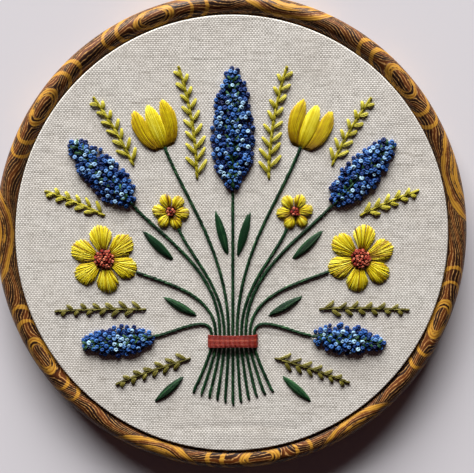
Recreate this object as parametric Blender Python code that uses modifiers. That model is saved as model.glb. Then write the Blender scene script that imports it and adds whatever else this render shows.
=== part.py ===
# Hoop embroidery: a linen cloth stretched between two hoops and stitched with a mirrored posy.
# It lies on its back. Metres, +Z up, +Y towards the top of the picture, origin under the cloth's centre.

import math
from collections import namedtuple

import bmesh
import bpy
from mathutils import Vector

COLLECTION = "hoop_embroidery"

# Hoop and cloth, as radii and heights
HOOP_RADIUS = 0.088
HOOP_DEPTH = 0.0095
HOOP_CREST_RADIUS = 0.0842
HOOP_SHOULDER_HEIGHT = 0.0064
HOOP_WAIST_HEIGHT = 0.0046
HOOP_LOWER_BULGE = 0.0056
HOOP_OVAL = 1.012
CLOTH_THICKNESS = 0.001
CLOTH_TOP = 0.0092
CLOTH_CORNER = 0.0013
CLOTH_CUT_EDGE = 0.0005
INNER_HOOP_RADIUS = 0.0788
INNER_HOOP_WIDTH = 0.004
INNER_HOOP_CORNER = 0.0008
GAP = 0.0003
HOOP_STEPS = 72

# Stitching, raised from the cloth's face
STITCH_BASE = CLOTH_TOP + GAP
STEM_RADIUS = 0.00055
STEM_PITCH = 0.0016
STEM_FLARE = 1.9
STEM_CURL = 0.1
STEM_RISE = 0.42
STEM_REACH = 0.30
TIE_HEIGHT = -0.039
TIE_WIDTH = 0.005
TIE_THICKNESS = 0.0007
TIE_CORNER = 0.00045
FOOT_HEIGHT = -0.064
FOOT_RISE = 0.0010
STEM_POINTS = 9
SPIKE_HEIGHT = 0.0022
SPIKE_TAPER = 0.22
EYE_HEIGHT = 0.0017
EYE_SHARE = 0.27
PETALS = 6
PETAL_HEIGHT = 0.0012
PETAL_NOTCH = 0.40
CUP_SHOULDER = 0.70
LEAF_HEIGHT = 0.0011
SPRIG_HEIGHT = 0.0009
SOFT_EDGE = 0.00015
ROUND_POINTS = 16

# Flowers, from the middle of the posy outwards. Place is where the stem meets the flower, on the
# right of the mirror line. Lean is from the upright, outwards. Length and width are the flower's own.
Flower = namedtuple("Flower", "name kind x y lean length width")
FLOWERS = (
    Flower("hyacinth_top", "spike", 0.0, 0.0170, 0, 0.046, 0.0170),
    Flower("tulip", "cup", 0.0245, 0.0320, 22, 0.0180, 0.0165),
    Flower("primrose_small", "blossom", 0.0200, 0.0030, 24, 0.0140, 0.0140),
    Flower("hyacinth_side", "spike", 0.0365, 0.0115, 43, 0.034, 0.0150),
    Flower("primrose", "blossom", 0.0355, -0.0130, 68, 0.0260, 0.0260),
    Flower("hyacinth_low", "spike", 0.0290, -0.0370, 97, 0.029, 0.0130),
)

# Slim leaves in satin stitch
Blade = namedtuple("Blade", "name x y lean length width")
BLADES = (
    Blade("blade_centre", 0.0016, -0.0080, 15, 0.019, 0.0032),
    Blade("blade_side", 0.0215, -0.0090, 46, 0.017, 0.0032),
    Blade("blade_waist", 0.0125, -0.0300, 60, 0.016, 0.0030),
    Blade("blade_foot", 0.0180, -0.0520, 132, 0.016, 0.0030),
)

# Feathered sprigs. Bend is how far the spine turns outwards along its length, in degrees.
Sprig = namedtuple("Sprig", "name finish x y lean bend length pairs reach")
SPRIGS = (
    Sprig("fern_top", "lime_thread", 0.0132, 0.0210, 0, 18, 0.042, 8, 0.0066),
    Sprig("fern_shoulder", "lime_thread", 0.0362, 0.0260, 24, 12, 0.029, 6, 0.0058),
    Sprig("fern_hip", "lime_thread", 0.0468, 0.0078, 62, 10, 0.024, 5, 0.0052),
    Sprig("twig_waist", "olive_thread", 0.0320, -0.0270, 88, 6, 0.034, 6, 0.0048),
    Sprig("twig_low", "olive_thread", 0.0155, -0.0455, 106, 6, 0.030, 6, 0.0050),
)
LEAFLET_LEAN = 40
LEAFLET_WIDTH = 0.0022
LEAFLET_SHRINK = 0.45
SPINE_WIDTH = 0.0010

Finish = namedtuple("Finish", "name colour roughness")
FINISHES = (
    Finish("wood_print", (0.25, 0.13, 0.045), 0.42),
    Finish("ring_plastic", (0.16, 0.085, 0.04), 0.5),
    Finish("linen", (0.62, 0.57, 0.50), 0.9),
    Finish("blue_thread", (0.03, 0.09, 0.42), 0.55),
    Finish("yellow_thread", (0.85, 0.62, 0.02), 0.55),
    Finish("rust_thread", (0.42, 0.09, 0.03), 0.6),
    Finish("dark_green_thread", (0.01, 0.09, 0.035), 0.55),
    Finish("olive_thread", (0.20, 0.20, 0.035), 0.55),
    Finish("lime_thread", (0.45, 0.46, 0.05), 0.55),
)

SIDES = (("_left", -1), ("_right", 1))


def start_scene():
    """An empty scene with the part's collection and its plain dielectric finishes."""
    for leftover in list(bpy.data.objects):
        bpy.data.objects.remove(leftover)
    collection = bpy.data.collections.new(COLLECTION)
    bpy.context.scene.collection.children.link(collection)
    for finish in FINISHES:
        made = bpy.data.materials.new(finish.name)
        made.use_nodes = True
        shader = made.node_tree.nodes["Principled BSDF"]
        shader.inputs["Base Color"].default_value = (*finish.colour, 1.0)
        shader.inputs["Roughness"].default_value = finish.roughness
        shader.inputs["Metallic"].default_value = 0.0


def add(name, data, finish):
    """A new object of the part, in one of the finishes."""
    data.materials.append(bpy.data.materials[finish])
    piece = bpy.data.objects.new(name, data)
    bpy.data.collections[COLLECTION].objects.link(piece)
    return piece


def arc(centre, radii, start, end, count):
    """Points along part of an ellipse, angles in degrees from the first axis."""
    turns = [math.radians(start + (end - start) * i / count) for i in range(count + 1)]
    return [(centre[0] + radii[0] * math.cos(a), centre[1] + radii[1] * math.sin(a)) for a in turns]


def turned(name, section, finish):
    """A section in radius and height carried round the hoop's axis, then drawn slightly oval."""
    mesh = bpy.data.meshes.new(name)
    count = len(section)
    reaches_axis = section[0][0] == 0
    edges = [(i, (i + 1) % count) for i in range(count - 1 if reaches_axis else count)]
    mesh.from_pydata([(radius, 0.0, height) for radius, height in section], edges, [])
    piece = add(name, mesh, finish)
    screw = piece.modifiers.new("Round", "SCREW")
    screw.steps = HOOP_STEPS
    screw.render_steps = HOOP_STEPS
    screw.use_merge_vertices = True
    screw.merge_threshold = 0.00001
    screw.use_smooth_shade = True
    piece.scale.y = HOOP_OVAL


def outer_hoop_section():
    """A rounded band: a domed front, a bulging outer side, a flat back and an upright inner wall."""
    wall = INNER_HOOP_RADIUS + GAP + CLOTH_THICKNESS + GAP
    inner_width = HOOP_CREST_RADIUS - wall
    side_width = HOOP_RADIUS - HOOP_CREST_RADIUS
    waist = (HOOP_CREST_RADIUS, HOOP_WAIST_HEIGHT)
    back_turn = -math.degrees(math.asin(HOOP_WAIST_HEIGHT / HOOP_LOWER_BULGE))
    upper_side = arc(waist, (side_width, HOOP_DEPTH - HOOP_WAIST_HEIGHT), 90, 0, 5)
    lower_side = arc(waist, (side_width, HOOP_LOWER_BULGE), 0, back_turn, 3)
    shoulder = (HOOP_CREST_RADIUS, HOOP_SHOULDER_HEIGHT)
    inner_side = arc(shoulder, (inner_width, HOOP_DEPTH - HOOP_SHOULDER_HEIGHT), 180, 90, 5)
    return [*upper_side, *lower_side[1:], (wall, 0.0), *inner_side[:-1]]


def inner_hoop_section():
    """A plain rigid ring with eased corners, hidden from the front by the cloth."""
    inside = INNER_HOOP_RADIUS - INNER_HOOP_WIDTH
    ease = INNER_HOOP_CORNER
    shoulder = CLOTH_TOP - CLOTH_THICKNESS - GAP - ease
    outer_corner = arc((INNER_HOOP_RADIUS - ease, shoulder), (ease, ease), 90, 0, 2)
    inner_corner = arc((inside + ease, shoulder), (ease, ease), 180, 90, 2)
    return [*outer_corner, (INNER_HOOP_RADIUS, 0.0), (inside, 0.0), *inner_corner]


def cloth_section():
    """A taut face that turns down between the hoops to its cut edge, one thickness throughout."""
    inside = INNER_HOOP_RADIUS + GAP
    outside = inside + CLOTH_THICKNESS
    under = CLOTH_TOP - CLOTH_THICKNESS
    inner_ease = CLOTH_CORNER - CLOTH_THICKNESS
    bend = (outside - CLOTH_CORNER, CLOTH_TOP - CLOTH_CORNER)
    over = arc(bend, (CLOTH_CORNER, CLOTH_CORNER), 90, 0, 4)
    beneath = arc(bend, (inner_ease, inner_ease), 0, 90, 2)
    rim = [(outside, CLOTH_CUT_EDGE), (inside, CLOTH_CUT_EDGE)]
    return [(0.0, CLOTH_TOP), *over, *rim, *beneath, (0.0, under)]


def heading(lean):
    """The direction that leans this many degrees from +Y towards +X."""
    return Vector((math.sin(math.radians(lean)), math.cos(math.radians(lean))))


def placed(outline, x, y, lean, side):
    """An outline drawn along +Y, leant and moved to its place, then mirrored for the left side."""
    along = heading(lean)
    across = Vector((along.y, -along.x))
    there = [Vector((x, y)) + across * u + along * v for u, v in outline]
    return [(side * point.x, point.y) for point in there]


def poly_curve(name, dimensions, outlines, cyclic):
    """A curve of straight-sided runs in its own XY plane."""
    curve = bpy.data.curves.new(name, "CURVE")
    curve.dimensions = dimensions
    for outline in outlines:
        spline = curve.splines.new("POLY")
        spline.points.add(len(outline) - 1)
        for point, (x, y) in zip(spline.points, outline):
            point.co = (x, y, 0.0, 1.0)
        spline.use_cyclic_u = cyclic
    return curve


def flat_pad(name, outlines, height, finish, edge=0.0):
    """A low pad of stitching. The first outline is its rim, and any other is a hole."""
    curve = poly_curve(name, "2D", outlines, True)
    curve.fill_mode = "BOTH"
    curve.extrude = height / 2 - edge
    curve.bevel_depth = edge
    curve.bevel_resolution = 0
    curve.offset = -edge
    piece = add(name, curve, finish)
    piece.location.z = STITCH_BASE + height / 2


def mound(name, length, width, height, taper, place, turn, finish):
    """A low mound of knots: half an ellipsoid, drawn in towards its tip by the taper."""
    mesh = bpy.data.meshes.new(name)
    shape = bmesh.new()
    bmesh.ops.create_uvsphere(shape, u_segments=ROUND_POINTS, v_segments=ROUND_POINTS // 2, radius=1.0)
    below = [vert for vert in shape.verts if vert.co.z < -GAP]
    bmesh.ops.delete(shape, geom=below, context="VERTS")
    rim = [edge for edge in shape.edges if edge.is_boundary]
    bmesh.ops.contextual_create(shape, geom=rim)
    for vert in shape.verts:
        vert.co.x *= width / 2 * (1 - taper * vert.co.y)
        vert.co.y *= length / 2
        vert.co.z *= height
    bmesh.ops.recalc_face_normals(shape, faces=shape.faces)
    shape.to_mesh(mesh)
    shape.free()
    mesh.shade_smooth()
    mesh.set_sharp_from_angle(angle=math.radians(40))
    piece = add(name, mesh, finish)
    piece.location = (*place, STITCH_BASE)
    piece.rotation_euler.z = turn


def blossom_outline(size):
    """A rosette whose rim rises and falls once for each petal. One petal points back along the stem."""
    points = PETALS * 6
    rim = []
    for i in range(points):
        turn = 2 * math.pi * i / points
        lobe = math.sqrt(abs(math.cos(PETALS * turn / 2)))
        radius = size / 2 * (1 - PETAL_NOTCH + PETAL_NOTCH * lobe)
        rim.append((radius * math.sin(turn), radius * math.cos(turn)))
    return rim


def cup_outline(length, width):
    """A cup seen from the side, round below and three-pointed above."""
    steps = 12
    rim = []
    for i in range(steps + 1):
        across = -1 + 2 * i / steps
        peak = abs(math.cos(1.5 * math.pi * across))
        rim.append((across * width / 2, length * (CUP_SHOULDER + (1 - CUP_SHOULDER) * peak)))
    for i in range(1, steps):
        across = 1 - 2 * i / steps
        rim.append((across * width / 2, length * CUP_SHOULDER * (1 - math.sqrt(1 - across**2))))
    return rim


def blade_outline(length, width):
    """A lens pointed at both ends."""
    steps = 7
    shares = [i / steps for i in range(1, steps)]
    right = [(width / 2 * math.sin(math.pi * share), length * share) for share in shares]
    left = [(-u, v) for u, v in reversed(right)]
    return [(0.0, 0.0), *right, (0.0, length), *left]


def spine_point(sprig, share):
    """Where a bending spine has got to, and its heading there, as a share of its length."""
    steps = 12
    point = Vector((sprig.x, sprig.y))
    for i in range(steps):
        lean = sprig.lean + sprig.bend * share * (i + 0.5) / steps
        point += heading(lean) * (sprig.length * share / steps)
    return point, sprig.lean + sprig.bend * share


def sprig_outline(sprig):
    """Up one side of a feathered sprig, round its tip and down the other side."""
    halves = {}
    for hand in (-1, 1):
        points = []
        for k in range(sprig.pairs):
            share = (k + 0.7 + 0.25 * hand) / (sprig.pairs + 0.8)
            root, lean = spine_point(sprig, share)
            along = heading(lean)
            foot = root + Vector((along.y, -along.x)) * hand * SPINE_WIDTH / 2
            reach = sprig.reach * (1 - LEAFLET_SHRINK * share)
            tip = root + heading(lean + hand * LEAFLET_LEAN) * reach
            points += [foot - along * LEAFLET_WIDTH / 2, tip, foot + along * LEAFLET_WIDTH / 2]
        halves[hand] = points
    end, _ = spine_point(sprig, 1.0)
    along = heading(sprig.lean)
    start = Vector((sprig.x, sprig.y))
    half_spine = Vector((along.y, -along.x)) * SPINE_WIDTH / 2
    return [start - half_spine, *halves[-1], end, *reversed(halves[1]), start + half_spine]


def stem_path(slot, flower):
    """From the foot, through the tie, in an easy curve to the flower, on the right-hand side."""
    tie_x = slot * STEM_PITCH
    foot = Vector((tie_x * STEM_FLARE, FOOT_HEIGHT + FOOT_RISE * slot))
    below = Vector((tie_x, TIE_HEIGHT - TIE_WIDTH / 2 - GAP))
    above = Vector((tie_x, TIE_HEIGHT + TIE_WIDTH / 2 + GAP))
    head = Vector((flower.x, flower.y)) - heading(flower.lean) * GAP * 2
    span = (head - above).length
    leave = above + Vector((0.0, span * STEM_RISE))
    arrive = head - heading(flower.lean) * span * STEM_REACH
    path = [foot, foot.lerp(below, 0.6) - Vector((tie_x * STEM_CURL, 0.0)), below]
    for i in range(STEM_POINTS):
        t = i / (STEM_POINTS - 1)
        s = 1 - t
        path.append(above * s**3 + leave * 3 * s * s * t + arrive * 3 * s * t * t + head * t**3)
    return path


def stem(name, path, side):
    """A raised line of stem stitch: a tube along its path."""
    curve = poly_curve(name, "3D", [[(side * point.x, point.y) for point in path]], False)
    curve.bevel_depth = STEM_RADIUS
    curve.bevel_resolution = 2
    curve.use_fill_caps = True
    piece = add(name, curve, "dark_green_thread")
    piece.location.z = STITCH_BASE + STEM_RADIUS


def spike(name, flower, side):
    """A tapering head of blue knots."""
    middle = Vector((flower.x, flower.y)) + heading(flower.lean) * flower.length / 2
    turn = -side * math.radians(flower.lean)
    place = (side * middle.x, middle.y)
    mound(name, flower.length, flower.width, SPIKE_HEIGHT, SPIKE_TAPER, place, turn, "blue_thread")


def blossom(name, flower, side):
    """A ring of yellow petals round an eye of rust knots."""
    middle = Vector((flower.x, flower.y)) + heading(flower.lean) * flower.length / 2
    eye = flower.width * EYE_SHARE
    hole = arc((0.0, 0.0), (eye / 2 + GAP, eye / 2 + GAP), 0, 360, ROUND_POINTS)[:-1]
    petals = placed(blossom_outline(flower.width), middle.x, middle.y, flower.lean, side)
    ring = [petals, placed(hole, middle.x, middle.y, 0, side)]
    flat_pad(name, ring, PETAL_HEIGHT, "yellow_thread", SOFT_EDGE)
    mound(name + "_eye", eye, eye, EYE_HEIGHT, 0.0, (side * middle.x, middle.y), 0.0, "rust_thread")


def cup(name, flower, side):
    """A cup-shaped flower seen from the side."""
    outline = placed(cup_outline(flower.length, flower.width), flower.x, flower.y, flower.lean, side)
    flat_pad(name, [outline], PETAL_HEIGHT, "yellow_thread", SOFT_EDGE)


def tie_outline():
    """An arch over the gathered stems, from the cloth up one side and down the other."""
    half = (len(FLOWERS) - 1) * STEM_PITCH + STEM_RADIUS + GAP
    under = 2 * STEM_RADIUS + GAP
    right = [(half, 0.0), (half, under * 0.6), (half - TIE_CORNER, under)]
    inner = [(-x, z) for x, z in right] + right[::-1]
    over = half + TIE_THICKNESS
    top = under + TIE_THICKNESS
    outer = [(over, 0.0), (over, top * 0.6), (half - TIE_CORNER, top)]
    return inner + outer + [(-x, z) for x, z in outer[::-1]]


def tie():
    """The band of satin stitch that gathers the stems, standing over them."""
    curve = poly_curve("tie", "2D", [tie_outline()], True)
    curve.fill_mode = "BOTH"
    curve.extrude = TIE_WIDTH / 2
    piece = add("tie", curve, "rust_thread")
    piece.location = (0.0, TIE_HEIGHT, STITCH_BASE)
    piece.rotation_euler.x = math.radians(90)


def flowers():
    """Each flower on its stem. The first stands on the mirror line, and the rest are in pairs."""
    shapes = {"spike": spike, "cup": cup, "blossom": blossom}
    for slot, flower in enumerate(FLOWERS):
        for tag, side in SIDES if slot else (("", 1),):
            stem("stem_" + flower.name + tag, stem_path(slot, flower), side)
            shapes[flower.kind](flower.name + tag, flower, side)


def leaves():
    """The mirrored blades and sprigs."""
    for tag, side in SIDES:
        for blade in BLADES:
            lens = blade_outline(blade.length, blade.width)
            outline = placed(lens, blade.x, blade.y, blade.lean, side)
            flat_pad(blade.name + tag, [outline], LEAF_HEIGHT, "dark_green_thread", SOFT_EDGE)
        for sprig in SPRIGS:
            outline = [(side * point.x, point.y) for point in sprig_outline(sprig)]
            flat_pad(sprig.name + tag, [outline], SPRIG_HEIGHT, sprig.finish)


def build():
    start_scene()
    turned("outer_hoop", outer_hoop_section(), "wood_print")
    turned("inner_hoop", inner_hoop_section(), "ring_plastic")
    turned("cloth", cloth_section(), "linen")
    flowers()
    leaves()
    tie()


build()
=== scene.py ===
# Hoop embroidery, dressed: a wood-print ring, a taut linen and a mirrored posy worked in real stitches.
# Metres, +Z up, +Y towards the top of the picture. The hoop lies on its back on a pale floor.

import math
import zlib
from collections import namedtuple

import bpy
import numpy as np
from mathutils import Matrix, Vector


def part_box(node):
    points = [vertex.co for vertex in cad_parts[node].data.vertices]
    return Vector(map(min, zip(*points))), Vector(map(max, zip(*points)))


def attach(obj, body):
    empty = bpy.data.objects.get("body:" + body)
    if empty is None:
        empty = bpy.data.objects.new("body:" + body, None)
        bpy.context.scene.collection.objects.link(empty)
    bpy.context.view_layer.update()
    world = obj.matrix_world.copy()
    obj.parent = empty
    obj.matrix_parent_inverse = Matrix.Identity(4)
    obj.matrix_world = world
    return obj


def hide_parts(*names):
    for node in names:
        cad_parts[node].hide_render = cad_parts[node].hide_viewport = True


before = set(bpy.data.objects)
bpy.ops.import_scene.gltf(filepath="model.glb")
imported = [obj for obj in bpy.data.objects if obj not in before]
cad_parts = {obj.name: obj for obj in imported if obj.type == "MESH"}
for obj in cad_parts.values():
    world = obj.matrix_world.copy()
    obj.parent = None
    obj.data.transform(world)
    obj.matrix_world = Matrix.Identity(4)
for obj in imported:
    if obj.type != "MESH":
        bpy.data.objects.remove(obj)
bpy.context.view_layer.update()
mm = 0.001


# Camera, floor and light

view = {
    "width": 474,  # pixels across the photograph
    "focal": 946.0,  # focal length in those pixels
    "sensor": 36.0,  # width of the camera's film, in millimetres
    "nearest": 0.01,
    "aim": (0.00155, 0.00023, 0.0092),
    "distance": 0.35,
    "tiltX": -1.4,  # degrees off the upright, to the left
    "tiltY": 5.56,  # and towards the top of the picture
}

studio = {
    "floorSize": 4.0,
    "floorColour": (0.680, 0.674, 0.718),
    "keyTurn": 98.0,  # degrees round from +X: a broad soft light low beyond the top of the picture
    "keyRise": 17.8,
    "keyDistance": 5.4,
    "keySize": (5.6, 2.1),
    "keyPower": 1095.0,
    "keyColour": (1.0, 0.97, 0.95),
    "skyColour": (1.0, 0.52, 0.54),
    "skyStrength": 0.027,
    "colours": "Standard",  # the plain view transform, which keeps the threads' full colour
}


def addObject(name, data):
    made = bpy.data.objects.new(name, data)
    bpy.context.scene.collection.objects.link(made)
    return made


def makeCamera():
    lean = [math.tan(math.radians(view[tilt])) for tilt in ("tiltX", "tiltY")]
    toward = Vector((*lean, 1.0))
    toward.normalize()
    right = Vector((0.0, 1.0, 0.0)).cross(toward).normalized()
    data = bpy.data.cameras.new("camera")
    data.sensor_width = view["sensor"]
    data.lens = view["sensor"] * view["focal"] / view["width"]
    data.clip_start = view["nearest"]
    camera = addObject("camera", data)
    turn = Matrix((right, toward.cross(right), toward)).transposed().to_4x4()
    camera.matrix_world = Matrix.Translation(Vector(view["aim"]) + toward * view["distance"]) @ turn
    bpy.context.scene.camera = camera


def makeLight():
    data = bpy.data.lights.new("key", "AREA")
    data.shape = "RECTANGLE"
    data.size, data.size_y = studio["keySize"]
    data.energy = studio["keyPower"]
    data.color = studio["keyColour"]
    key = addObject("key", data)
    turn, rise = math.radians(studio["keyTurn"]), math.radians(studio["keyRise"])
    level = math.cos(rise)
    aside = Vector((math.cos(turn) * level, math.sin(turn) * level, math.sin(rise)))
    key.location = aside * studio["keyDistance"]
    key.rotation_euler = (-aside).to_track_quat("-Z", "Y").to_euler()
    world = bpy.data.worlds.new("sky")
    bpy.context.scene.world = world
    world.use_nodes = True
    sky = world.node_tree.nodes["Background"]
    sky.inputs["Color"].default_value = (*studio["skyColour"], 1.0)
    sky.inputs["Strength"].default_value = studio["skyStrength"]
    bpy.context.scene.view_settings.view_transform = studio["colours"]


# Node helpers. A term is a number, a colour or another node's output.

def wire(tree, socket, term):
    if isinstance(term, bpy.types.NodeSocket):
        tree.links.new(term, socket)
    else:
        socket.default_value = term


def calc(tree, operation, *terms):
    node = tree.nodes.new("ShaderNodeMath")
    node.operation = operation
    for socket, term in zip(node.inputs, terms):
        wire(tree, socket, term)
    return node.outputs[0]


def times(tree, first, second):
    return calc(tree, "MULTIPLY", first, second)


def scaled(tree, term, factor, added):
    # Term x factor + added
    return calc(tree, "MULTIPLY_ADD", term, factor, added)


def nudged(tree, term, source, middle, amount):
    # Term + (source - middle) x amount: the term, moved by how far a source stands from its middle
    return scaled(tree, calc(tree, "SUBTRACT", source, middle), amount, term)


def mixed(tree, share, first, second):
    node = tree.nodes.new("ShaderNodeMix")
    node.data_type = "RGBA"
    wire(tree, node.inputs["Factor"], share)
    colourSockets = node.inputs[6:8]  # the pair for colours, as several inputs share the names A and B
    for socket, term in zip(colourSockets, (first, second)):
        wire(tree, socket, term if isinstance(term, bpy.types.NodeSocket) else (*term, 1.0))
    return node.outputs[2]


def ramp(tree, term, low, high, bottom=0.0, top=1.0):
    node = tree.nodes.new("ShaderNodeMapRange")
    node.interpolation_type = "SMOOTHSTEP"
    for socket, value in zip(node.inputs, (term, low, high, bottom, top)):
        wire(tree, socket, value)
    return node.outputs[0]


def noise(tree, place, scale, detail):
    node = tree.nodes.new("ShaderNodeTexNoise")
    wire(tree, node.inputs["Vector"], place)
    node.inputs["Scale"].default_value = scale
    node.inputs["Detail"].default_value = detail
    return node.outputs["Fac"]


def objectPlace(tree):
    return tree.nodes.new("ShaderNodeTexCoord").outputs["Object"]


def ownUv(tree):
    node = tree.nodes.new("ShaderNodeUVMap")
    node.uv_map = "UVMap"
    split = tree.nodes.new("ShaderNodeSeparateXYZ")
    tree.links.new(node.outputs[0], split.inputs[0])
    return split.outputs[0], split.outputs[1]


def ownValue(tree, name):
    node = tree.nodes.new("ShaderNodeAttribute")
    node.attribute_name = name
    return node.outputs["Fac"]


def vector(tree, x, y, z):
    node = tree.nodes.new("ShaderNodeCombineXYZ")
    for socket, term in zip(node.inputs, (x, y, z)):
        wire(tree, socket, term)
    return node.outputs[0]


def drawnOut(tree, x, xScale, y, yScale, start, detail):
    # Noise with a scale of its own along each axis, so that it can be long and thin
    return noise(tree, vector(tree, times(tree, x, xScale), times(tree, y, yScale), start), 1.0, detail)


def material(name, **sockets):
    made = bpy.data.materials.new(name)
    made.use_nodes = True
    shader = made.node_tree.nodes["Principled BSDF"]
    for socket, value in sockets.items():
        shader.inputs[socket.replace("_", " ")].default_value = value
    return made, made.node_tree, shader


def bump(tree, shader, height, distance, strength):
    node = tree.nodes.new("ShaderNodeBump")
    node.inputs["Distance"].default_value = distance
    node.inputs["Strength"].default_value = strength
    tree.links.new(height, node.inputs["Height"])
    tree.links.new(node.outputs[0], shader.inputs["Normal"])


# Mesh helpers. A part is its points, its quads, a UV for each corner and the values each point carries.

Part = namedtuple("Part", "points quads uv values")


def gridQuads(rows, columns, wrap=False):
    # Corners (i, j), (i+1, j), (i+1, j+1) and (i, j+1) of every cell of a grid. If it is wrapped, the last
    # column joins the first.
    i, j = np.meshgrid(np.arange(rows - 1), np.arange(columns if wrap else columns - 1), indexing="ij")
    beside = (j + 1) % columns
    corners = [i * columns + j, (i + 1) * columns + j, (i + 1) * columns + beside, i * columns + beside]
    return np.stack(corners, -1).reshape(-1, 4)


def joined(parts):
    # Several parts as one, each one's corner numbers moved past the points before it.
    starts = np.cumsum([0] + [len(part.points) for part in parts])
    quads = np.concatenate([part.quads + start for part, start in zip(parts, starts)])
    values = {key: np.concatenate([part.values[key] for part in parts]) for key in parts[0].values}
    return Part(np.concatenate([part.points for part in parts]), quads,
                np.concatenate([part.uv for part in parts]), values)


def makePiece(name, part, finish, nodes=()):
    mesh = bpy.data.meshes.new(name)
    mesh.vertices.add(len(part.points))
    mesh.vertices.foreach_set("co", part.points.astype(np.float32).ravel())
    mesh.loops.add(part.quads.size)
    mesh.loops.foreach_set("vertex_index", part.quads.astype(np.int32).ravel())
    mesh.polygons.add(len(part.quads))
    mesh.polygons.foreach_set("loop_start", np.arange(0, part.quads.size, 4, dtype=np.int32))
    mesh.update(calc_edges=True)
    mesh.polygons.foreach_set("use_smooth", np.ones(len(part.quads), bool))
    layer = mesh.uv_layers.new(name="UVMap")
    layer.data.foreach_set("uv", part.uv.astype(np.float32).ravel())
    for key, value in part.values.items():
        mesh.attributes.new(key, "FLOAT", "POINT").data.foreach_set("value", value.astype(np.float32))
    mesh.materials.append(finish)
    piece = addObject(name, mesh)
    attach(piece, "root")
    if nodes:
        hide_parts(*nodes)
    return piece


def chance(name):
    # A stream of random numbers that is the same each time for the same name.
    return np.random.default_rng(zlib.crc32(name.encode()))


# Outer hoop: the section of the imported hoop, drawn finely, with a wood-grain print

_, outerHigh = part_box("outer_hoop")
outerHoop = {
    "radius": outerHigh.x,
    "oval": outerHigh.y / outerHigh.x,  # how tall the ring is beside its width
    "depth": outerHigh.z,
    "crestRadius": 0.0842,
    "wallRadius": 0.0804,
    "shoulder": 0.0064,  # where the upright inner wall ends
    "waistHeight": 0.0046,  # where the ring is widest
    "lowerBulge": 0.0056,  # height of the ellipse that the lower side is cut from by the flat back
    "steps": 1296,
    "innerRows": 16,
    "sideRows": 18,
    "lowerRows": 9,
    "backRows": 3,
}

# The print, in millimetres across and degrees round from +X, anticlockwise
woodPrint = {
    "knots": (42.6, 110.0, 145.7, 211.6, 277.0, 338.4),
    "flames": (15.0, 77.0, 180.0, 250.0, 303.0),
    "centre": -0.5,  # the knots' middle, outwards from the crest
    "knotHalf": (7.9, 4.1),
    "knotBands": ((0.60, 0.69), (0.78, 1.0)),
    "knotCore": 0.60,  # lines run along the knot inside this share, and round it outside
    "arcs": ((14.6, 7.0), (20.2, 8.6)),  # half sizes of the bands that loop past the ends of a knot
    "arcWidth": 1.35,
    "flameHalf": (18.5, 12.5),
    "flameBase": 8.5,
    "flameBands": ((0.24, 0.34), (0.51, 0.62), (0.68, 0.72), (0.86, 0.97)),
    "outside": -9.0,  # well away from every figure
    # Slow waves: height, how many a turn, shift for each millimetre across, start
    "wobble": ((0.35, 13, 0.0, 0.0), (0.25, 29, 0.5, 0.0)),
    "knotWobble": 0.5,  # share of the wobble that a knot has
    "drift": ((2.1, 8, 0.0, 0.6), (0.9, 21, 0.35, 0.0)),
    "coreLines": 0.8,  # run of the lines for each millimetre across a knot's core
    "ringLines": 4.0,  # and for one whole knot's half size, in its rings
    "linePitch": 0.74,
    "broadPitch": 4.3,  # from one broad dark streak to the next, in line pitches
    "patchScale": 260.0,
    "fineScale": 1500.0,
    "breakScale": 800.0,  # of the breaks in the fine lines
    "relief": 0.00006,
    "dark": (0.015, 0.004, 0.002),
    "brown": (0.102, 0.026, 0.004),
    "line": (0.46, 0.245, 0.080),
    "ochre": (0.47, 0.245, 0.030),
    "ochreDeep": (0.25, 0.094, 0.010),
}


def arcPoints(centre, radii, start, end, count):
    # Points on part of an ellipse: centre plus each radius by the cosine and sine of the turn, in degrees.
    turn = np.radians(np.linspace(start, end, count + 1))
    return np.stack([centre[0] + radii[0] * np.cos(turn), centre[1] + radii[1] * np.sin(turn)], -1)


def outerSection():
    # A quarter ellipse from the inner wall up to the crest, another out and down to the waist, the part of
    # a third down to the flat back, then straight lines in along the back and up the wall.
    hoop = outerHoop
    inward, outward = hoop["crestRadius"] - hoop["wallRadius"], hoop["radius"] - hoop["crestRadius"]
    head = (hoop["crestRadius"], hoop["shoulder"])
    waist = (hoop["crestRadius"], hoop["waistHeight"])
    foot = (hoop["wallRadius"], 0.0)
    backTurn = -math.degrees(math.asin(hoop["waistHeight"] / hoop["lowerBulge"]))
    inner = arcPoints(head, (inward, hoop["depth"] - hoop["shoulder"]), 180, 90, hoop["innerRows"])
    upper = arcPoints(waist, (outward, hoop["depth"] - hoop["waistHeight"]), 90, 0, hoop["sideRows"])
    lower = arcPoints(waist, (outward, hoop["lowerBulge"]), 0, backTurn, hoop["lowerRows"])
    back = np.linspace(lower[-1], foot, hoop["backRows"] + 1)
    wall = np.linspace(foot, inner[0], hoop["backRows"] + 1)
    return np.concatenate([inner, upper[1:], lower[1:], back[1:], wall[1:]])


def turnsRound(steps):
    return 2 * np.pi * np.arange(steps) / steps


def makeRing(name, section, steps, values, finish, node):
    # A closed section carried round: x = r cos(turn), y = oval r sin(turn), z = the section's height.
    turn = turnsRound(steps)
    radius, height = section[:, :1], section[:, 1:]
    x = radius * np.cos(turn)
    y = outerHoop["oval"] * radius * np.sin(turn)
    points = np.stack([x, y, np.broadcast_to(height, x.shape)], -1).reshape(-1, 3)
    quads = gridQuads(len(section), steps, wrap=True)
    makePiece(name, Part(points, quads, np.zeros((len(quads), 4, 2)), values), finish, [node])
    print(name.replace("_", " ") + ":", len(quads), "faces")


def ellipseShare(along, across, half):
    # Share = the hypotenuse of along / half length and across / half width; and how many millimetres one
    # share is there.
    share = np.hypot(along / half[0], across / half[1]) + 1e-6
    slope = np.hypot(along / half[0] ** 2, across / half[1] ** 2) / share
    return share, 1 / (slope + 1e-6)


def insideBand(share, scale, low, high):
    # Millimetres inside a band between two shares, negative outside it.
    return np.minimum(share - low, high - share) * scale


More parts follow.
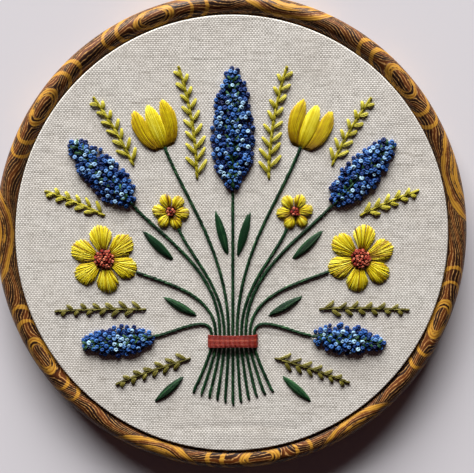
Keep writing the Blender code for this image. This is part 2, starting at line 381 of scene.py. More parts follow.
def waves(rows, along, across):
    # The sum of height x sin(how many x along + shift x across + start)
    return sum(height * np.sin(np.radians(along * often) + shift * across + start)
               for height, often, shift, start in rows)


def alongFrom(along, angle):
    # Millimetres along the crest from an angle, the shorter way round
    perDegree = math.radians(1) * outerHoop["crestRadius"] / mm
    return ((along - angle + 180) % 360 - 180) * perDegree


def grain(turn, across):
    # How many millimetres each place lies inside the ochre figures, and the run of the fine lines. The
    # lines part round each knot as water parts round a stone, and inside a knot or a flame they follow its
    # own rings.
    centred = across - woodPrint["centre"]
    along = np.degrees(turn)
    ochre = np.full(np.broadcast(along, across).shape, woodPrint["outside"])
    parted = np.ones_like(ochre)
    rings = np.zeros_like(ochre)
    within = np.zeros_like(ochre)
    wobble = waves(woodPrint["wobble"], along, across)
    knotAcross = centred + wobble * woodPrint["knotWobble"]
    for angle in woodPrint["knots"]:
        u = alongFrom(along, angle)
        share, scale = ellipseShare(u, knotAcross, woodPrint["knotHalf"])
        for low, high in woodPrint["knotBands"]:
            ochre = np.maximum(ochre, insideBand(share, scale, low, high))
        for half in woodPrint["arcs"]:
            far, farScale = ellipseShare(u, knotAcross, half)
            ochre = np.maximum(ochre, woodPrint["arcWidth"] / 2 - np.abs(far - 1) * farScale)
        parted *= 1 - 1 / np.maximum(share, 1.0) ** 2
        core = centred * woodPrint["coreLines"] + wobble
        own = np.where(share < woodPrint["knotCore"], core, share * woodPrint["ringLines"])
        rings = np.where(share < 1, own, rings)
        within = np.where(share < 1, 1.0, within)
    for angle in woodPrint["flames"]:
        u = alongFrom(along, angle)
        share, scale = ellipseShare(u, across - woodPrint["flameBase"] + wobble, woodPrint["flameHalf"])
        for low, high in woodPrint["flameBands"]:
            ochre = np.maximum(ochre, insideBand(share, scale, low, high))
        rings = np.where(share < 1, share * woodPrint["flameHalf"][1], rings)
        within = np.where(share < 1, 1.0, within)
    flow = (centred * parted + waves(woodPrint["drift"], along, across)) * (1 - within) + rings * within
    return ochre, flow


def woodPrintFinish():
    # Ochre where the figure says, else dark brown with fine tan lines along the grain, all under a satin
    # skin. Noise frays the figures' edges and breaks the lines.
    wood = woodPrint
    made, tree, shader = material("woodPrintVinyl", Roughness=0.48, Specular_IOR_Level=0.24)
    place = objectPlace(tree)
    patch = noise(tree, place, wood["patchScale"], 2.0)
    fine = noise(tree, place, wood["fineScale"], 3.0)
    flow = nudged(tree, ownValue(tree, "flow"), patch, 0.5, 0.9)
    wave = calc(tree, "SINE", times(tree, flow, 2 * math.pi / wood["linePitch"]))
    broad = calc(tree, "SINE", times(tree, flow, 2 * math.pi / (wood["linePitch"] * wood["broadPitch"])))
    lines = ramp(tree, scaled(tree, fine, 1.1, wave), 1.05, 1.5)
    field = mixed(tree, ramp(tree, broad, -0.5, 1.1), wood["dark"], wood["brown"])
    strength = ramp(tree, noise(tree, place, wood["breakScale"], 1.0), 0.34, 0.60, 0.30, 1.0)
    field = mixed(tree, times(tree, lines, strength), field, wood["line"])
    edge = nudged(tree, ownValue(tree, "ochre"), fine, 0.5, 0.5)
    figure = ramp(tree, nudged(tree, edge, patch, 0.48, 1.5), -0.14, 0.16)
    depth = ramp(tree, scaled(tree, patch, 1.6, wave), -0.4, 1.1)
    gold = mixed(tree, depth, wood["ochreDeep"], wood["ochre"])
    tree.links.new(mixed(tree, figure, field, gold), shader.inputs["Base Color"])
    height = calc(tree, "ADD", times(tree, lines, 0.5), times(tree, figure, 0.5))
    bump(tree, shader, scaled(tree, fine, 0.3, height), wood["relief"], 0.8)
    return made


def makeOuterHoop():
    # Across is the distance along the section from the crest, outwards, in millimetres
    section = outerSection()
    steps = np.hypot(*np.diff(section, axis=0).T)
    across = (np.concatenate([[0.0], np.cumsum(steps)]) / mm)[:, None]
    across = across - across[outerHoop["innerRows"]]
    ochre, flow = grain(turnsRound(outerHoop["steps"])[None, :], across)
    values = {"ochre": ochre.ravel(), "flow": flow.ravel()}
    finish = woodPrintFinish()
    makeRing("outer_ring", section, outerHoop["steps"], values, finish, "outer_hoop")


# Inner hoop: a plain rigid ring with eased corners, seen only from behind

_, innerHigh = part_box("inner_hoop")
innerHoop = {
    "radius": innerHigh.x,
    "width": 0.004,
    "top": innerHigh.z,
    "ease": 0.0008,  # radius of the corners at the top; those at the foot are half as round
    "steps": 360,
    "easeRows": 4,
    "dark": (0.075, 0.0375, 0.02025),
    "light": (0.125, 0.0625, 0.03375),
    "relief": 0.00005,
}


def innerSection():
    # A quarter circle at each corner: the inner and the outer one at the top, then the outer and the inner
    # one at the foot.
    ring = innerHoop
    inside, outside, ease = ring["radius"] - ring["width"], ring["radius"], ring["ease"]
    foot = ease / 2
    corners = (
        ((inside + ease, ring["top"] - ease), ease, 180, 90),
        ((outside - ease, ring["top"] - ease), ease, 90, 0),
        ((outside - foot, foot), foot, 0, -90),
        ((inside + foot, foot), foot, -90, -180),
    )
    arcs = [arcPoints(centre, (size, size), start, end, ring["easeRows"])
            for centre, size, start, end in corners]
    return np.concatenate(arcs + [arcs[0][:1]])


def ringPlasticFinish():
    made, tree, shader = material("ringPlastic", Roughness=0.46)
    place = objectPlace(tree)
    cloudy = noise(tree, place, 90.0, 3.0)
    grit = noise(tree, place, 2600.0, 2.0)
    colour = mixed(tree, ramp(tree, cloudy, 0.3, 0.7), innerHoop["dark"], innerHoop["light"])
    tree.links.new(colour, shader.inputs["Base Color"])
    bump(tree, shader, scaled(tree, cloudy, 0.6, grit), innerHoop["relief"], 0.6)
    return made


def makeInnerHoop():
    section, finish = innerSection(), ringPlasticFinish()
    makeRing("inner_ring", section, innerHoop["steps"], {}, finish, "inner_hoop")


# Linen: one taut round, turned down between the hoops

clothLow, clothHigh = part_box("cloth")
linen = {
    "top": clothHigh.z,
    "outside": clothHigh.x,
    "cutEdge": clothLow.z,
    "corner": 0.0005,
    "thickness": 0.0004,
    "middle": (0.00005, -0.0002),  # the round sits this far off the ring's middle
    "cells": 196,
    "faceShare": 0.84,  # the share of the cells that the flat face takes
    "bendShare": 0.94,  # and the share up to the end of the bend
    "bendMargin": 0.0002,  # the close cells reach this far before and past the bend
    "ripple": 0.00010,
    "stillEdge": 0.004,  # the ripple dies out over this width before the bend
    "crease": (0.005, -0.0715),  # middle of a faint crease
    "creaseHalf": (0.03, 0.0012),
    "creaseBow": 2.2,
    "creaseDepth": 1.3,
    "pulls": 46,  # as many a turn, along the top edge
    "pullStart": 0.055,
    "pullLength": 0.022,
}

# The weave, in millimetres. Warp threads run up the picture and weft threads across it.
weave = {
    "pitch": (0.58, 0.70),  # from one thread to the next, across and up
    "stray": (0.35, 1.6),  # how far the threads wander, across and up
    "strayScale": (0.45, 0.06),
    "curve": (4.0, 2.4),  # how sharply a warp and a weft thread are rounded
    "rise": 0.75,
    "relief": 0.00006,
    "pivot": 0.86,  # calmer patches draw the shading towards this
    # painted shade: how much darker the warp's crowns are painted than the weft's
    "warpShade": -0.52,
    "streakShade": -0.22,
    "fleckShare": 0.55,
    "patchShare": 0.16,
    # painted light on the threads' crowns, and painted shade in the hollows between them
    "light": (0.86, 0.845, 0.80),
    "dark": (0.22, 0.205, 0.175),
    "fleck": (0.88, 0.86, 0.82),
    "patch": (0.50, 0.43, 0.36),
}


def linenProfile(run):
    # Run is the distance from the middle along the cloth: flat, then round the corner, then straight down.
    corner = linen["corner"]
    bendStart = linen["outside"] - corner
    turn = np.clip((run - bendStart) / corner, 0, np.pi / 2)
    drop = np.maximum(run - bendStart - corner * np.pi / 2, 0)
    radius = np.minimum(run, bendStart) + corner * np.sin(turn)
    height = linen["top"] - corner * (1 - np.cos(turn)) - drop
    return radius, height, np.sin(turn), np.cos(turn)


def linenRipple(x, y):
    # Slow waves in the taut face, a faint crease low down on a line that bows as x squared, and pulls that
    # run in from the top edge as sines of the turn, all as shares of the ripple's height.
    slow = np.sin(x * 95 + np.sin(y * 60)) * np.sin(y * 80 + 1.3)
    creaseX, creaseY = linen["crease"]
    halfLength, halfWidth = linen["creaseHalf"]
    away = (y - creaseY + linen["creaseBow"] * x * x) / halfWidth
    crease = -linen["creaseDepth"] * np.exp(-away ** 2) * np.exp(-((x - creaseX) / halfLength) ** 2)
    turn = np.arctan2(x, y)
    reach = np.clip((np.hypot(x, y) - linen["pullStart"]) / linen["pullLength"], 0, 1)
    pulls = np.sin(turn * linen["pulls"] + 3 * np.sin(turn * 5)) * reach * (y > 0)
    return slow * 0.6 + crease + pulls * 0.35


def flatRadius():
    corner = linen["corner"]
    return linen["outside"] - corner + corner * np.pi / 2 + linen["top"] - corner - linen["cutEdge"]


def linenPart():
    # A square grid pressed into a disc: the square ring through (a, b) becomes a circle, its points spread
    # evenly at the turn pi b / 4a beside the x axis, and the same the other way round beside y.
    count = linen["cells"] + 1
    a, b = np.meshgrid(np.linspace(-1, 1, count), np.linspace(-1, 1, count), indexing="ij")
    size = np.maximum(np.abs(a), np.abs(b))
    wide = np.abs(a) >= np.abs(b)
    main = np.where(wide, a, b)
    turn = np.pi / 4 * np.where(wide, b, a) / np.where(main == 0, 1, main)
    cosine = np.where(wide, np.cos(turn), np.sin(turn)) * np.sign(main)
    sine = np.where(wide, np.sin(turn), np.cos(turn)) * np.sign(main)
    bendStart = linen["outside"] - linen["corner"]
    bendEnd = bendStart + linen["corner"] * np.pi / 2
    shares = (0, linen["faceShare"], linen["bendShare"], 1)
    margin = linen["bendMargin"]
    run = np.interp(size, shares, (0, bendStart - margin, bendEnd + margin, flatRadius()))
    radius, height, lean, rise = linenProfile(run)
    flat = np.stack([run * cosine, outerHoop["oval"] * run * sine], -1)
    edge = np.clip((bendStart - run) / linen["stillEdge"], 0, 1)
    middleX, middleY = linen["middle"]
    height = height + linen["ripple"] * linenRipple(flat[..., 0], flat[..., 1]) * edge * edge
    sides = []
    for depth in (0.0, linen["thickness"]):
        r, z = radius - depth * lean, height - depth * rise
        x = r * cosine + middleX
        y = outerHoop["oval"] * r * sine + middleY
        sides.append(np.stack([x, y, z], -1).reshape(-1, 3))
    face = gridQuads(count, count)
    order = np.arange(count * count).reshape(count, count)
    rim = np.concatenate([order[:-1, 0], order[-1, :-1], order[:0:-1, -1], order[0, :0:-1]])
    ahead = np.roll(rim, -1)
    total = count * count
    walls = np.stack([ahead, rim, rim + total, ahead + total], -1)
    quads = np.concatenate([face, face[:, ::-1] + total, walls])
    places = np.concatenate([flat.reshape(-1, 2)] * 2) / mm
    return Part(np.concatenate(sides), quads, places[quads], {})


def linenFinish():
    # A plain weave. A thread's height is its round section plus or minus the cosine of the way along its
    # cell, and the higher of warp and weft shows. The height is painted as light and shade, crowns lighter
    # and hollows darker, and the warp's crowns are painted darker than the weft's. Uneven lengths, calmer
    # patches, long faint streaks along the weft, pale flecks and slow patches of a warmer tone keep it from
    # being regular.
    made, tree, shader = material("linen", Roughness=0.95, Specular_IOR_Level=0.08)
    u, v = ownUv(tree)
    place = vector(tree, u, v, 0.0)
    sway = noise(tree, place, weave["strayScale"][0], 1.0)
    drift = noise(tree, place, weave["strayScale"][1], 2.0)
    x = calc(tree, "DIVIDE", scaled(tree, sway, weave["stray"][0], u), weave["pitch"][0])
    y = calc(tree, "DIVIDE", scaled(tree, drift, weave["stray"][1], v), weave["pitch"][1])
    column, row = calc(tree, "FLOOR", x), calc(tree, "FLOOR", y)
    besideX = calc(tree, "SUBTRACT", calc(tree, "SUBTRACT", x, column), 0.5)
    besideY = calc(tree, "SUBTRACT", calc(tree, "SUBTRACT", y, row), 0.5)
    parity = calc(tree, "COSINE", times(tree, calc(tree, "ADD", column, row), math.pi))
    warpTone = drawnOut(tree, column, 7.13, y, 0.16, 3.0, 2.0)
    weftTone = drawnOut(tree, x, 0.16, row, 5.37, 9.0, 2.0)
    warp = (besideX, besideY, warpTone, weave["rise"], weave["curve"][0])
    weft = (besideY, besideX, weftTone, -weave["rise"], weave["curve"][1])
    heights = []
    for beside, along, tone, rise, curve in (warp, weft):
        square = times(tree, times(tree, beside, beside), curve)
        section = calc(tree, "SUBTRACT", scaled(tree, tone, 0.9, 0.55), square)
        wave = times(tree, parity, calc(tree, "COSINE", times(tree, along, math.pi)))
        heights.append(scaled(tree, wave, rise, section))
    height = calc(tree, "MAXIMUM", *heights)
    warpOnTop = calc(tree, "GREATER_THAN", *heights)
    weftOnTop = calc(tree, "SUBTRACT", 1.0, warpOnTop)
    tone = calc(tree, "ADD", times(tree, warpOnTop, warpTone), times(tree, weftOnTop, weftTone))
    calm = ramp(tree, noise(tree, place, 0.11, 2.0), 0.38, 0.62, 0.62, 1.0)
    # Painted light and shade: the higher a thread stands, the lighter it is painted, and the warp's crowns
    # darker
    lit = calc(tree, "SUBTRACT", ramp(tree, height, 0.25, 1.4), weave["pivot"])
    shade = nudged(tree, scaled(tree, lit, calm, weave["pivot"]), tone, 0.5, 0.75)
    shade = scaled(tree, warpOnTop, weave["warpShade"], shade)
    streak = ramp(tree, drawnOut(tree, x, 0.03, row, 3.7, 5.0, 1.0), 0.58, 0.74)
    shade = scaled(tree, streak, weave["streakShade"], shade)
    colour = mixed(tree, shade, weave["dark"], weave["light"])
    fleck = ramp(tree, noise(tree, place, 2.1, 0.0), 0.76, 0.84)
    colour = mixed(tree, times(tree, fleck, weave["fleckShare"]), colour, weave["fleck"])
    patch = ramp(tree, noise(tree, place, 0.05, 3.0), 0.3, 0.75, 0.0, weave["patchShare"])
    colour = mixed(tree, patch, colour, weave["patch"])
    tree.links.new(colour, shader.inputs["Base Color"])
    bump(tree, shader, height, weave["relief"], 1.0)
    return made


def makeLinen():
    piece = makePiece("linen_cloth", linenPart(), linenFinish(), ["cloth"])


# Stitches: each is one strand, or a few side by side, that comes up through the linen and goes down again

thread = {
    "surface": clothHigh.z,
    "dive": 0.00030,  # how far below the face an end goes
    "half": 0.00024,  # half a strand's width
    "squash": 0.85,  # a strand's height beside its width
    "points": 8,
    "sides": 6,
    "pinch": 0.55,  # an end's width as a share of the middle's
    "fullness": 0.35,  # the lower this power of a sine, the sooner a strand is full
    "arch": 0.4,  # and the sooner it is at its full height
}


def unit(vectors):
    # Each vector divided by its length
    return vectors / (np.linalg.norm(vectors, axis=-1, keepdims=True) + 1e-12)


def rightOf(direction):
    # (y, -x): a flat direction turned a quarter to the right
    return np.stack([direction[..., 1], -direction[..., 0]], -1)


def mirrored(places, side):
    return places * np.array([side, 1.0])


def dome(share):
    # Height of a ball's surface at a share of its radius: sqrt(1 - share squared)
    return np.sqrt(np.clip(1 - share**2, 0, 1))


def abreast(strands):
    # Places side by side, one apart and evenly about 0
    return np.arange(strands) - (strands - 1) / 2


def toneSpread(draw, middle, spread, size, darkest=0.0):
    return np.clip(draw.normal(middle, spread, size), darkest, 1.0)


def tubes(lines, halfWidth, halfHeight, sides, tone):
    # Each point of a line, plus cos(turn) half widths sideways and sin(turn) half heights upwards, closed
    # at both ends. U is the share of the way round and v the length in millimetres.
    count, points = lines.shape[:2]
    ahead = unit(np.gradient(lines, axis=1))
    sideways = unit(np.cross(ahead, (0.0, 0.0, 1.0)))
    upwards = np.cross(sideways, ahead)
    turn = turnsRound(sides)
    wide = (np.broadcast_to(halfWidth, (count, points))[..., None] * np.cos(turn))[..., None]
    high = (np.broadcast_to(halfHeight, (count, points))[..., None] * np.sin(turn))[..., None]
    surface = lines[:, :, None] + sideways[:, :, None] * wide + upwards[:, :, None] * high
    body = gridQuads(points, sides, wrap=True)
    fan = np.array([(0, k, k + 1, k + 2) for k in range(1, sides - 2, 2)])
    one = np.concatenate([body, fan, (fan + (points - 1) * sides)[:, ::-1]])
    quads = (one[None] + (np.arange(count) * points * sides)[:, None, None]).reshape(-1, 4)
    gaps = np.linalg.norm(np.diff(lines, axis=1), axis=2)
    length = np.concatenate([np.zeros((count, 1)), np.cumsum(gaps, 1)], 1)
    k, s = np.divmod(np.arange(len(body)), sides)
    u = np.stack([s, s, s + 1, s + 1], -1) / sides
    v = length[:, np.stack([k, k + 1, k + 1, k], -1)] / mm
    bodyUv = np.stack([np.broadcast_to(u, v.shape), v], -1)
    endUv = np.zeros((count, len(one) - len(body), 4, 2))
    uv = np.concatenate([bodyUv, endUv], 1).reshape(-1, 4, 2)
    tones = np.broadcast_to(np.broadcast_to(tone, (count, points))[..., None], (count, points, sides))
    return Part(surface.reshape(-1, 3), quads, uv, {"tone": tones.ravel()})


def swell(points):
    # How full a strand is along its length: pinched at both ends, full between
    share = np.linspace(0, 1, points)
    return thread["pinch"] + (1 - thread["pinch"]) * np.sin(np.pi * share) ** thread["fullness"]


def laid(flat, lift, tone, half=thread["half"], squash=thread["squash"]):
    # Strands over flat lines: the height starts and ends under the face and is flat-topped between, as a
    # sine to a small power. Lift is how high a strand's underside rides in the middle.
    half = np.broadcast_to(half, (len(flat),))
    arch = np.sin(np.pi * np.linspace(0, 1, flat.shape[1])) ** thread["arch"]
    top = np.broadcast_to(lift, (len(flat),))[:, None] + (half * squash)[:, None]
    height = thread["surface"] - thread["dive"] + (top + thread["dive"]) * arch
    lines = np.concatenate([flat, height[..., None]], -1)
    width = half[:, None] * swell(flat.shape[1])
    return tubes(lines, width, width * squash, thread["sides"], tone)


straight = {
    "apart": 1.65,  # from strand to strand, in half widths
    "closed": 0.35,  # how much of that is left at the ends
    "stray": 0.15,
    "heap": 0.5,  # how much higher the middle strands lie, in half widths
    "uneven": 0.25,
    "toneSpread": 0.07,
}


def strandSet(starts, ends, strands, lift, tone, draw, half=thread["half"], bow=0.0):
    # Straight stitches of a few strands: start to end, each strand moved sideways by its own share of the
    # width, which closes up at the ends, and lifted where it lies in the middle.
    count = len(starts)
    share = np.linspace(0, 1, thread["points"])
    swing = np.sin(np.pi * share)
    run = ends - starts
    sideways = unit(rightOf(run))
    parts = []
    for place in abreast(strands):
        offset = place * half * straight["apart"]
        spread = offset * (straight["closed"] + (1 - straight["closed"]) * swing) + bow * swing
        jitter = draw.normal(0, half * straight["stray"], (count, 1))
        flat = starts[:, None] + run[:, None] * share[:, None]
        flat = flat + sideways[:, None] * (spread + jitter)[..., None]
        high = lift + half * straight["heap"] * (1 - abs(offset) / (half * strands))
        high = high + draw.uniform(0, half * straight["uneven"], count)
        own = toneSpread(draw, tone, straight["toneSpread"], count)
        parts.append(laid(flat, high, own[:, None], half))
    return parts


def heading(lean):
    # The direction that leans this many degrees from +Y towards +X
    lean = np.radians(lean)
    return np.stack([np.sin(lean), np.cos(lean)], -1)


def placed(outline, flower, side):
    # Points drawn across and along a flower, leant and moved to its place, then mirrored for the left side
    along = heading(flower.lean)
    there = np.array([flower.x, flower.y]) + outline[..., :1] * rightOf(along) + outline[..., 1:] * along
    return mirrored(there, side)


stemStitch = {
    "strands": 3,
    "stitch": 0.0042,
    "step": 0.0021,  # from one stitch's start to the next one's
    "slant": 0.00026,
    "half": 0.00022,
    "lift": 0.00012,
    "apart": 1.5,  # from strand to strand, in half widths
    "closed": 0.4,  # how much of that is left at the ends
    "stray": 0.12,
    "heap": 0.7,  # how much higher the middle strand lies, in half widths
    "uneven": 0.3,
    "squash": 0.95,
    "toneSpread": 0.13,
    "near": 0.0001,  # the path's direction is taken between points this far behind and ahead
}


def rope(path, draw, tone, stitch=stemStitch["stitch"], slant=stemStitch["slant"], lift=stemStitch["lift"]):
    # Stem stitch: stitches one after another along a path, each half over the last and slanting across.
    stem = stemStitch
    half, step = stem["half"], stem["step"]
    run = np.concatenate([[0.0], np.cumsum(np.hypot(*np.diff(path, axis=0).T))])

    def onPath(along):
        return np.stack([np.interp(along, run, path[:, axis]) for axis in (0, 1)], -1)

    starts = np.arange(0.0, max(run[-1] - step * 0.6, step * 0.5), step)
    share = np.linspace(0, 1, thread["points"])
    places = np.minimum(starts[:, None] + stitch * share, run[-1])
    places += share * 1e-6
    flat = onPath(places)
    sideways = rightOf(unit(onPath(places + stem["near"]) - onPath(places - stem["near"])))
    swing = stem["closed"] + (1 - stem["closed"]) * np.sin(np.pi * share)
    parts = []
    for place in abreast(stem["strands"]):
        offset = place * half * stem["apart"]
        across = slant * (1 - 2 * share) + offset * swing
        across = across + draw.normal(0, half * stem["stray"], (len(starts), 1))
        own = toneSpread(draw, tone, stem["toneSpread"], (len(starts), 1))
        high = lift + half * stem["heap"] * (1 - abs(place))
        high = high + draw.uniform(0, half * stem["uneven"], len(starts))
        parts.append(laid(flat + sideways * across[..., None], high, own, half, stem["squash"]))
    return parts


# Knots: a thread wound nearly twice round the needle and pulled down

knot = {
    "turns": 1.8,
    "points": 14,
    "ring": 0.00056,  # radius of the winding
    "tighten": 0.20,  # how much narrower it ends
    "thread": 0.00041,  # radius of the thread
    "low": 0.00032,
    "high": 0.00088,
    "rootShare": 0.02,
    "rootDrop": 0.0003,
    "tailShare": 0.95,  # past this share of the winding the thread is drawn to the middle
    "tailRing": 0.45,
    "tailDrop": 0.00035,
    "endWidth": 0.6,
    "toneRise": 0.10,
    "pitch": 0.00176,  # from one knot to the next
}


def knotCoils(centres, lifts, sizes, tilts, tones, draw):
    # One coil, x = r cos(turn), y = r sin(turn), rising as it winds, its tail drawn to the middle; then
    # turned, tilted, sized and moved for each knot.
    share = np.linspace(0, 1, knot["points"])
    root, tail = share < knot["rootShare"], share > knot["tailShare"]
    turn = 2 * np.pi * knot["turns"] * share
    radius = knot["ring"] * (1.04 - knot["tighten"] * share) * np.where(tail, knot["tailRing"], 1.0)
    height = knot["low"] + (knot["high"] - knot["low"]) * np.minimum(share * 1.15, 1.0)
    height = height - np.where(tail, knot["tailDrop"], 0.0) - np.where(root, knot["rootDrop"], 0.0)
    spin = draw.uniform(0, 2 * np.pi, len(centres))[:, None]
    x, y = radius * np.cos(turn + spin), radius * np.sin(turn + spin)
    z = height + x * tilts[:, :1] + y * tilts[:, 1:]
    coil = np.stack([x, y, z], -1) * sizes[:, None, None]
    coil[..., :2] += centres[:, None]
    coil[..., 2] += thread["surface"] + lifts[:, None]
    width = knot["thread"] * np.where(root | tail, knot["endWidth"], 1.0) * sizes[:, None]
    along = np.clip(tones[:, None] + knot["toneRise"] * (share - 0.4), 0, 1)
    return tubes(coil, width, width * 0.92, thread["sides"], along)


def scatter(inside, reach, pitch, draw, jitter, shift=0.0):
    # Places on a lattice of even triangles, 0.866 times as high as wide, each moved a little at random and
    # kept where it is inside, row by row to and fro.
    rowPitch = pitch * 0.866
    rows = int(reach / rowPitch) + 1
    i, j = np.meshgrid(np.arange(-rows, rows + 1), np.arange(-rows, rows + 1), indexing="ij")
    j = np.where(i % 2 == 0, j, -j)
    x = (j + 0.5 * (i % 2) + shift) * pitch
    y = (i + shift * 0.6) * rowPitch
    spots = np.stack([x, y], -1).reshape(-1, 2) + draw.normal(0, jitter, (x.size, 2))
    return spots[inside(spots)]


# The posy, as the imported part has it: where each flower meets its stem, its lean, its length and width

Flower = namedtuple("Flower", "name kind x y lean length width")
flowerRows = (
    Flower("hyacinth_top", "spike", 0.0, 0.0170, 0, 0.046, 0.0170),
    Flower("tulip", "cup", 0.0245, 0.0320, 22, 0.0180, 0.0165),
    Flower("primrose_small", "blossom", 0.0200, 0.0030, 24, 0.0140, 0.0140),
    Flower("hyacinth_side", "spike", 0.0365, 0.0115, 43, 0.034, 0.0150),
    Flower("primrose", "blossom", 0.0355, -0.0130, 68, 0.0260, 0.0260),
    Flower("hyacinth_low", "spike", 0.0290, -0.0370, 97, 0.029, 0.0130),
)
Blade = namedtuple("Blade", "name x y lean length width")
bladeRows = (
    Blade("blade_centre", 0.0016, -0.0080, 15, 0.019, 0.0032),
    Blade("blade_side", 0.0215, -0.0090, 46, 0.017, 0.0032),
    Blade("blade_waist", 0.0125, -0.0300, 60, 0.016, 0.0030),
    Blade("blade_foot", 0.0180, -0.0520, 132, 0.016, 0.0030),
)
Sprig = namedtuple("Sprig", "name slot x y lean bend length pairs reach")
sprigRows = (
    Sprig("fern_top", "lime_thread", 0.0132, 0.0210, 0, 18, 0.042, 8, 0.0066),
    Sprig("fern_shoulder", "lime_thread", 0.0362, 0.0260, 24, 12, 0.029, 6, 0.0058),
    Sprig("fern_hip", "lime_thread", 0.0468, 0.0078, 62, 10, 0.024, 5, 0.0052),
    Sprig("twig_waist", "olive_thread", 0.0320, -0.0270, 88, 6, 0.034, 6, 0.0048),
    Sprig("twig_low", "olive_thread", 0.0155, -0.0455, 106, 6, 0.030, 6, 0.0050),
)
sideRows = (("_left", -1), ("_right", 1))

stems = {
    "pitch": 0.0016,  # from one stem to the next in the tie
    "flare": 1.9,  # how much further apart they are at the foot
    "curl": 0.1,
    "bend": 0.6,
    "rise": 0.42,
    "reach": 0.30,
    "footHeight": -0.064,
    "footRise": 0.0010,
    "tieHeight": -0.039,
    "tieWidth": 0.005,
    "tuck": 0.0010,  # how far a stem runs on under the foot of a cup
    "points": 24,
    "footPoints": 8,
    "tone": 0.42,
}

# Thread colours, darkest first: a thread's tone picks its place along them
threadLooks = {
    "blue_thread": ((0.002, 0.004, 0.030), (0.006, 0.026, 0.14), (0.030, 0.130, 0.41), (0.38, 0.60, 0.75)),
    "yellow_thread": ((0.15, 0.065, 0.002), (0.46, 0.28, 0.003), (0.82, 0.68, 0.006), (1.0, 0.92, 0.10)),
    "rust_thread": ((0.045, 0.002, 0.001), (0.31, 0.020, 0.010), (0.76, 0.24, 0.13)),
    "dark_green_thread": ((0.001, 0.005, 0.002), (0.006, 0.048, 0.016), (0.09, 0.23, 0.09)),
    "olive_thread": ((0.026, 0.022, 0.002), (0.13, 0.115, 0.014), (0.46, 0.42, 0.10)),
    "lime_thread": ((0.09, 0.075, 0.003), (0.41, 0.36, 0.015), (0.84, 0.79, 0.12)),
}
middleTones = {3: (0.5,), 4: (0.35, 0.7)}  # where the colours between the first and the last stand
cotton = {
    "filaments": 7.0,  # as many grooves round a thread
    "twist": 0.55,  # how many of them pass in a millimetre's length
    # painted shade in the grooves and painted light on the ridges, as a share of the tone
    "groove": 0.055,
    "fuzz": 0.30,
    "cloud": 0.35,
    "cloudScale": 420.0,
    "relief": 0.00005,
}
finishes = {}


def threadFinish(slot):
    # Stranded cotton: the tone picks the colour, and fine grooves run along the thread with a slow twist;
    # the grooves are painted darker and the ridges lighter, as painted shade and light. Fuzz and slow
    # clouds make the colour uneven, and fuzz roughens the gloss a little.
    made, tree, shader = material(slot.replace("_thread", "Cotton"), Specular_IOR_Level=0.26)
    u, v = ownUv(tree)
    filament = scaled(tree, u, cotton["filaments"], times(tree, v, cotton["twist"]))
    wave = calc(tree, "SINE", times(tree, filament, 2 * math.pi))
    fuzz = drawnOut(tree, u, 9.0, v, 1.3, 0.0, 2.0)
    cloud = noise(tree, objectPlace(tree), cotton["cloudScale"], 2.0)
    tone = nudged(tree, ownValue(tree, "tone"), cloud, 0.5, cotton["cloud"])
    # The grooves' sine shifts the tone: painted shade in the grooves, painted light on the ridges
    tone = scaled(tree, wave, cotton["groove"], nudged(tree, tone, fuzz, 0.5, cotton["fuzz"]))
    band = tree.nodes.new("ShaderNodeValToRGB")
    stops = band.color_ramp.elements
    colours = threadLooks[slot]
    stops[0].color, stops[1].color = (*colours[0], 1.0), (*colours[-1], 1.0)
    for position, colour in zip(middleTones[len(colours)], colours[1:-1]):
        stops.new(position).color = (*colour, 1.0)
    tree.links.new(tone, band.inputs[0])
    tree.links.new(band.outputs[0], shader.inputs["Base Color"])
    tree.links.new(scaled(tree, fuzz, 0.16, 0.40), shader.inputs["Roughness"])
    bump(tree, shader, scaled(tree, fuzz, 0.6, wave), cotton["relief"], 0.75)
    finishes[slot] = made


reverse = {
    "half": 0.00022,
    "squash": 0.7,
    "points": 6,
    "sides": 4,
    "depth": 0.00004,  # gap between the linen's back and a strand's middle
    "sag": 0.00012,
    "shortest": 0.0004,  # a hop shorter or longer than these leaves no strand
    "longest": 0.014,
    "tone": 0.42,
    "toneSpread": 0.12,
}
reverseLines = {slot: [] for slot in threadLooks}


def makeStitches(name, parts, slot, nodes=()):
    makePiece(name, joined(parts), finishes[slot], nodes)


def rememberReverse(slot, starts, ends):
    # On the back the thread runs from where each stitch ends to where the next begins
    hops = np.stack([ends[:-1], starts[1:]], 1)
    length = np.linalg.norm(hops[:, 1] - hops[:, 0], axis=1)
    reverseLines[slot].append(hops[(length < reverse["longest"]) & (length > reverse["shortest"])])


def stemPath(slot, flower, side):
    # A quadratic curve from the foot to the tie, then a cubic one that leaves upright and arrives along
    # the lean of the flower.
    tieX = slot * stems["pitch"]
    foot = np.array([tieX * stems["flare"], stems["footHeight"] + stems["footRise"] * slot])
    below = np.array([tieX, stems["tieHeight"] - stems["tieWidth"] / 2])
    above = np.array([tieX, stems["tieHeight"] + stems["tieWidth"] / 2])
    head = np.array([flower.x, flower.y])
    span = np.linalg.norm(head - above)
    leave = above + np.array([0.0, span * stems["rise"]])
    arrive = head - heading(flower.lean) * span * stems["reach"]
    t = np.linspace(0, 1, stems["points"])[:, None]
    curve = above * (1 - t) ** 3 + leave * 3 * (1 - t) ** 2 * t + arrive * 3 * (1 - t) * t**2 + head * t**3
    bend = foot + (below - foot) * stems["bend"] - np.array([tieX * stems["curl"], 0.0])
    t = np.linspace(0, 1, stems["footPoints"])[:, None]
    gather = foot * (1 - t) ** 2 + bend * 2 * (1 - t) * t + below * t**2
    return mirrored(np.concatenate([gather, curve]), side)


def makeStem(slot, flower, tag, side):
    name = "stem_" + flower.name + tag
    draw = chance(name)
    path = stemPath(slot, flower, side)
    if flower.kind == "cup":
        tucked = path[-1:] + mirrored(heading(flower.lean) * stems["tuck"], side)
        path = np.concatenate([path, tucked])
    makeStitches(name + "_stitches", rope(path, draw, stems["tone"]), "dark_green_thread", [name])
    rememberReverse("dark_green_thread", path[:-1:3], path[1::3])


